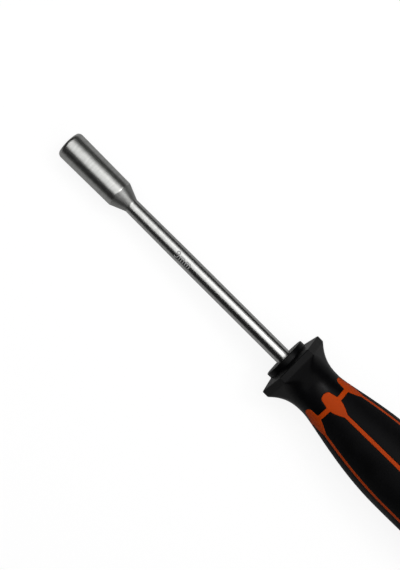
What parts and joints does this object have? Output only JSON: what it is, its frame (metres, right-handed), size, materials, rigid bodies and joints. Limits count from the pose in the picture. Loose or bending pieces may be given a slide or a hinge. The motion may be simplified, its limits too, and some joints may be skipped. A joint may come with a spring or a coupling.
{
  "type": "nut driver",
  "caption": "Fixed nut driver with a hexagonal socket on a round steel shank and a black and orange grip handle with a hexagonal anti-roll guard.",
  "frame": {"origin": "centre of the flat face at the handle's end, on the tool's axis", "axes": "+X along the tool's axis from the handle's end towards the socket, +Z out of the guard's upper flat, the tool lying as on a bench"},
  "size_m": [0.243, 0.0334, 0.0334],
  "materials": {
    "steel": "satin chromed steel, finely ground round the axis",
    "black_plastic": "satin moulded black plastic",
    "orange_plastic": "satin moulded orange plastic",
    "black_grip": "soft black grip plastic with a fine texture"
  },
  "bodies": {
    "root": {"blade": "steel", "inner_core": "black_plastic", "handle_body": "orange_plastic", "front_sleeve": "black_plastic", "end_cap": "black_plastic", "grip_pad_1": "black_grip", "grip_pad_2": "black_grip", "grip_pad_3": "black_grip", "grip_pad_4": "black_grip", "grip_pad_5": "black_grip", "grip_pad_6": "black_grip"}
  },
  "joints": []
}
